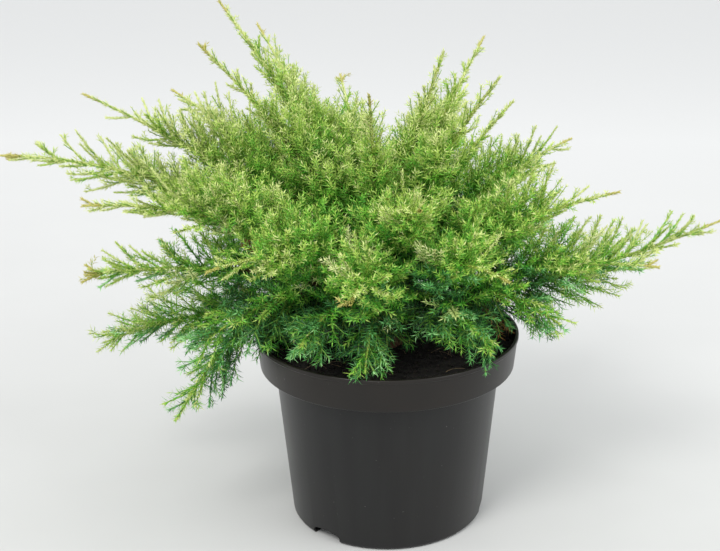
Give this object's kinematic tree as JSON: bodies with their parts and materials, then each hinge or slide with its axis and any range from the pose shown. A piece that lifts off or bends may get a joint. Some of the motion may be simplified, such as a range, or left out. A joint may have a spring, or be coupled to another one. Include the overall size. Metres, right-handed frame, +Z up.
{
  "type": "potted spreading juniper",
  "caption": "Young spreading conifer with arching sprays of short needles, on a short trunk in a round dark plastic nursery pot filled with peat.",
  "frame": {"origin": "centre of the pot's flat underside, on the surface that it stands on", "axes": "+Z up; +X along the crown's widest spread, to the right as seen from the front; the front is -Y"},
  "size_m": [0.596, 0.4424, 0.441],
  "materials": {
    "pot_plastic": "satin dark grey polypropylene, moulded, with fine vertical scuffs and dust",
    "peat": "dark brown moist peat with crumbs and root fibres",
    "bark": "thin brown bark, fissured and flaking along the limb",
    "needles": "short pointed needles, yellow-green at the tips, mid green inside and blue-green in the shade"
  },
  "bodies": {
    "root": {"pot": "pot_plastic", "peat": "peat", "trunk": "bark", "foliage_front_low_left": "needles", "bough_left_droop": "bark", "foliage_left_droop": "needles", "bough_right_low": "bark", "foliage_right_low": "needles", "bough_back_low_left": "bark", "foliage_back_low_left": "needles", "foliage_front_low_right": "needles", "bough_left_low": "bark", "foliage_left_low": "needles", "bough_back_low": "bark", "foliage_back_low": "needles", "foliage_front_low": "needles", "bough_right_far": "bark", "foliage_right_far": "needles", "foliage_left_front_low": "needles", "bough_back_low_right": "bark", "foliage_back_low_right": "needles", "bough_left_flat": "bark", "foliage_left_flat": "needles", "foliage_right_front_low": "needles", "foliage_front_mid": "needles", "bough_left_far": "bark", "foliage_left_far": "needles", "bough_back_mid_left": "bark", "foliage_back_mid_left": "needles", "bough_right_mid": "bark", "foliage_right_mid": "needles", "foliage_front_left": "needles", "foliage_front_right": "needles", "bough_back_mid_right": "bark", "foliage_back_mid_right": "needles", "bough_left_mid": "bark", "foliage_left_mid": "needles", "bough_right_back": "bark", "foliage_right_back": "needles", "foliage_front_upper": "needles", "bough_left_high": "bark", "foliage_left_high": "needles", "bough_front_high_left": "bark", "foliage_front_high_left": "needles", "bough_top_right": "bark", "foliage_top_right": "needles", "bough_left_back_high": "bark", "foliage_left_back_high": "needles", "bough_top_back": "bark", "foliage_top_back": "needles", "bough_top_left_front": "bark", "foliage_top_left_front": "needles", "foliage_front_high_right": "needles", "bough_top_left_back": "bark", "foliage_top_left_back": "needles", "bough_top_right_back": "bark", "foliage_top_right_back": "needles", "foliage_top_middle": "needles", "bough_top_left": "bark", "foliage_top_left": "needles"}
  },
  "joints": []
}
